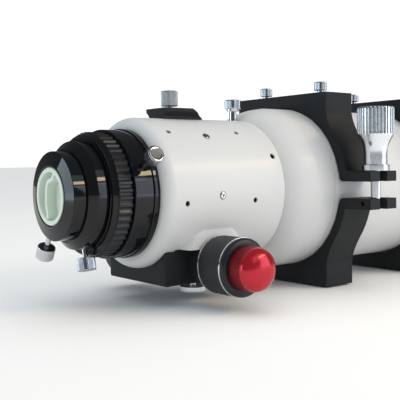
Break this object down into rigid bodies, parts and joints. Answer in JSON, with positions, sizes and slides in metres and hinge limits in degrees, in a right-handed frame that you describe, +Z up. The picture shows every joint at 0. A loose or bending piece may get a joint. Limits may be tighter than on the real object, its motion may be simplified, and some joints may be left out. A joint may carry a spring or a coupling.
{
  "type": "refractor telescope",
  "caption": "Refractor telescope tube with a rack-and-pinion focuser, red fine-focus knob, camera rotator, two hinged clamp rings, sliding dew shield and dust caps.",
  "frame": {"origin": "centre of the rear mounting ring's foot, on the plane of the feet", "axes": "+X along the optical axis towards the sky, +Z up, so that the fine-focus knob is on the -Y side"},
  "size_m": [0.7933, 0.2432, 0.2094],
  "materials": {
    "white_enamel": "gloss",
    "gloss_black": "gloss",
    "satin_black": "satin",
    "red_anodised": "gloss",
    "chrome_plate": "polished",
    "bright_aluminium": "satin",
    "brass": "satin",
    "pale_plastic": "satin",
    "optical_glass": "polished",
    "black_felt": "matte",
    "grey_steel": "satin"
  },
  "bodies": {
    "cradle": {"rear_ring_lower": "satin_black", "front_ring_lower": "satin_black", "rear_liner_lower": "black_felt", "front_liner_lower": "black_felt", "rear_hinge_pin": "grey_steel", "front_hinge_pin": "grey_steel", "rear_clamp_bolt": "chrome_plate", "front_clamp_bolt": "chrome_plate", "rear_clamp_pin": "grey_steel", "front_clamp_pin": "grey_steel"},
    "rear_ring_cover": {"rear_ring_upper": "satin_black", "rear_liner_upper": "black_felt", "rear_clamp_washer": "bright_aluminium"},
    "front_ring_cover": {"front_ring_upper": "satin_black", "front_liner_upper": "black_felt", "front_clamp_washer": "bright_aluminium"},
    "rear_clamp_knob": {"rear_clamp_knob": "bright_aluminium"},
    "front_clamp_knob": {"front_clamp_knob": "bright_aluminium"},
    "rear_top_screw_near": {"rear_top_screw_near": "chrome_plate"},
    "rear_top_screw_far": {"rear_top_screw_far": "chrome_plate"},
    "front_top_screw_near": {"front_top_screw_near": "chrome_plate"},
    "front_top_screw_far": {"front_top_screw_far": "chrome_plate"},
    "tube": {"main_tube": "white_enamel", "tube_adapter": "white_enamel", "rear_baffle": "satin_black", "front_baffle": "satin_black", "objective_cell": "satin_black", "crown_lens": "optical_glass", "flint_lens": "optical_glass", "lens_spacer": "bright_aluminium", "lens_retainer": "satin_black"},
    "dew_shield": {"dew_shield": "white_enamel", "dew_felt": "black_felt"},
    "dust_cap": {"dust_cap": "satin_black"},
    "focuser": {"focuser_body": "white_enamel", "pinion_housing": "satin_black", "pinion_bearing_near": "grey_steel", "pinion_bearing_far": "grey_steel", "front_guide_ring": "pale_plastic", "finder_shoe": "satin_black"},
    "finder_screw": {"finder_screw": "grey_steel"},
    "focuser_lock_screw": {"focuser_lock_screw": "chrome_plate"},
    "tension_knob": {"tension_knob": "bright_aluminium"},
    "pinion": {"pinion_shaft": "grey_steel", "coarse_knob_near": "satin_black", "coarse_knob_far": "satin_black"},
    "fine_knob": {"fine_knob": "red_anodised"},
    "drawtube": {"drawtube": "gloss_black", "rack": "grey_steel", "rotator_housing": "gloss_black", "drawtube_flange": "gloss_black"},
    "rotator_lock_screw": {"rotator_lock_screw": "chrome_plate"},
    "camera_rotator": {"rotator_ring": "gloss_black", "camera_angle_ring": "satin_black", "reducer_ring": "gloss_black", "eyepiece_holder": "gloss_black", "compression_ring": "brass"},
    "holder_screw": {"holder_screw": "chrome_plate"},
    "reducer_screw": {"reducer_screw": "chrome_plate"},
    "dust_plug": {"dust_plug": "pale_plastic"}
  },
  "joints": [
    {"name": "tube_turn", "type": "hinge", "parent": "cradle", "child": "tube", "pos_m": [0, 0, 0.1003], "axis": [1, 0, 0], "continuous": true},
    {"name": "focuser_turn", "type": "hinge", "parent": "tube", "child": "focuser", "pos_m": [-0.08, 0, 0.1003], "axis": [1, 0, 0], "continuous": true},
    {"name": "focus_travel", "type": "slide", "parent": "focuser", "child": "drawtube", "axis": [-1, 0, 0], "range_m": [0, 0.09]},
    {"name": "coarse_focus_turn", "type": "hinge", "parent": "focuser", "child": "pinion", "pos_m": [-0.157, 0, 0.0363], "axis": [0, -1, 0], "range_deg": [0, 680]},
    {"name": "fine_focus_turn", "type": "hinge", "parent": "focuser", "child": "fine_knob", "pos_m": [-0.157, 0, 0.0363], "axis": [0, -1, 0], "range_deg": [0, 6790]},
    {"name": "camera_turn", "type": "hinge", "parent": "drawtube", "child": "camera_rotator", "pos_m": [-0.231, 0, 0.1003], "axis": [1, 0, 0], "continuous": true},
    {"name": "rotator_lock_turn", "type": "hinge", "parent": "drawtube", "child": "rotator_lock_screw", "pos_m": [-0.2305, 0, 0.1003], "axis": [0, -0.9026, 0.4305], "continuous": true},
    {"name": "holder_screw_turn", "type": "hinge", "parent": "camera_rotator", "child": "holder_screw", "pos_m": [-0.282, 0, 0.1003], "axis": [0, 0.4848, -0.8746], "continuous": true},
    {"name": "reducer_screw_turn", "type": "hinge", "parent": "camera_rotator", "child": "reducer_screw", "pos_m": [-0.2646, 0, 0.1003], "axis": [0, -0.2334, -0.9724], "continuous": true},
    {"name": "dust_plug_out", "type": "slide", "parent": "camera_rotator", "child": "dust_plug", "axis": [-1, 0, 0], "range_m": [0, 0.04]},
    {"name": "finder_screw_turn", "type": "hinge", "parent": "focuser", "child": "finder_screw", "pos_m": [-0.164, 0, 0.1003], "axis": [0, 0, 1], "continuous": true},
    {"name": "focuser_lock_turn", "type": "hinge", "parent": "focuser", "child": "focuser_lock_screw", "pos_m": [-0.0851, 0, 0.1003], "axis": [0, 0, 1], "continuous": true},
    {"name": "tension_turn", "type": "hinge", "parent": "focuser", "child": "tension_knob", "pos_m": [-0.162, -0.03, 0.0203], "axis": [0, 0, -1], "continuous": true},
    {"name": "rear_ring_open", "type": "hinge", "parent": "cradle", "child": "rear_ring_cover", "pos_m": [0, 0.104, 0.1003], "axis": [-1, 0, 0], "range_deg": [0, 100]},
    {"name": "rear_clamp_turn", "type": "hinge", "parent": "rear_ring_cover", "child": "rear_clamp_knob", "pos_m": [0, -0.1125, 0.1503], "axis": [0, 0, 1], "continuous": true},
    {"name": "rear_top_screw_near_turn", "type": "hinge", "parent": "rear_ring_cover", "child": "rear_top_screw_near", "pos_m": [0, -0.041, 0.2003], "axis": [0, 0, 1], "continuous": true},
    {"name": "rear_top_screw_far_turn", "type": "hinge", "parent": "rear_ring_cover", "child": "rear_top_screw_far", "pos_m": [0, 0.041, 0.2003], "axis": [0, 0, 1], "continuous": true},
    {"name": "front_ring_open", "type": "hinge", "parent": "cradle", "child": "front_ring_cover", "pos_m": [0.1476, 0.104, 0.1003], "axis": [-1, 0, 0], "range_deg": [0, 100]},
    {"name": "front_clamp_turn", "type": "hinge", "parent": "front_ring_cover", "child": "front_clamp_knob", "pos_m": [0.1476, -0.1125, 0.1503], "axis": [0, 0, 1], "continuous": true},
    {"name": "front_top_screw_near_turn", "type": "hinge", "parent": "front_ring_cover", "child": "front_top_screw_near", "pos_m": [0.1476, -0.041, 0.2003], "axis": [0, 0, 1], "continuous": true},
    {"name": "front_top_screw_far_turn", "type": "hinge", "parent": "front_ring_cover", "child": "front_top_screw_far", "pos_m": [0.1476, 0.041, 0.2003], "axis": [0, 0, 1], "continuous": true},
    {"name": "dew_shield_slide", "type": "slide", "parent": "tube", "child": "dew_shield", "axis": [1, 0, 0], "range_m": [0, 0.115]},
    {"name": "dust_cap_off", "type": "slide", "parent": "dew_shield", "child": "dust_cap", "axis": [1, 0, 0], "range_m": [0, 0.04]}
  ],
  "couplings": [
    {"joint": "coarse_focus_turn", "follows": "focus_travel", "rad_per_m": 131.58},
    {"joint": "fine_focus_turn", "follows": "focus_travel", "rad_per_m": 1315.8}
  ]
}
